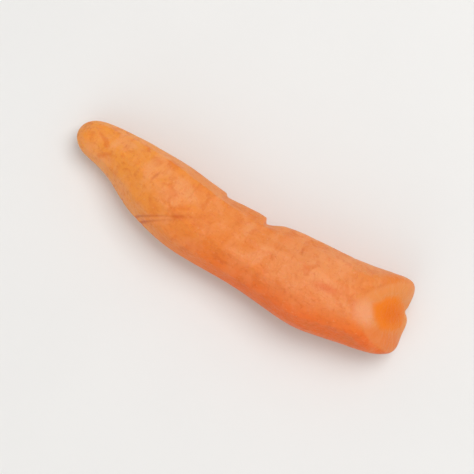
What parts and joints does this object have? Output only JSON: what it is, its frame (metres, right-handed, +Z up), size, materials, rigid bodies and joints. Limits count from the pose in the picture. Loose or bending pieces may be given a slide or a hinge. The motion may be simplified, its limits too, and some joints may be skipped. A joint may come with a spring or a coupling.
{
  "type": "carrot",
  "caption": "Peeled, trimmed carrot root, gently bowed and tapered from a slanted crown cut to a blunt tip; lies on a narrow peeled flat on its underside.",
  "frame": {"origin": "centre of the underside of the bounding box, on the surface that the carrot lies on", "axes": "+X along the root from the blunt tip to the cut crown, +Z up, and the root bows towards -Y"},
  "size_m": [0.135, 0.035, 0.0289],
  "materials": {
    "carrot_flesh": "peeled raw carrot: matt, slightly moist orange flesh with a paler haze, and a deeper orange core on the cut crown"
  },
  "bodies": {
    "root": {"carrot_root": "carrot_flesh"}
  },
  "joints": []
}
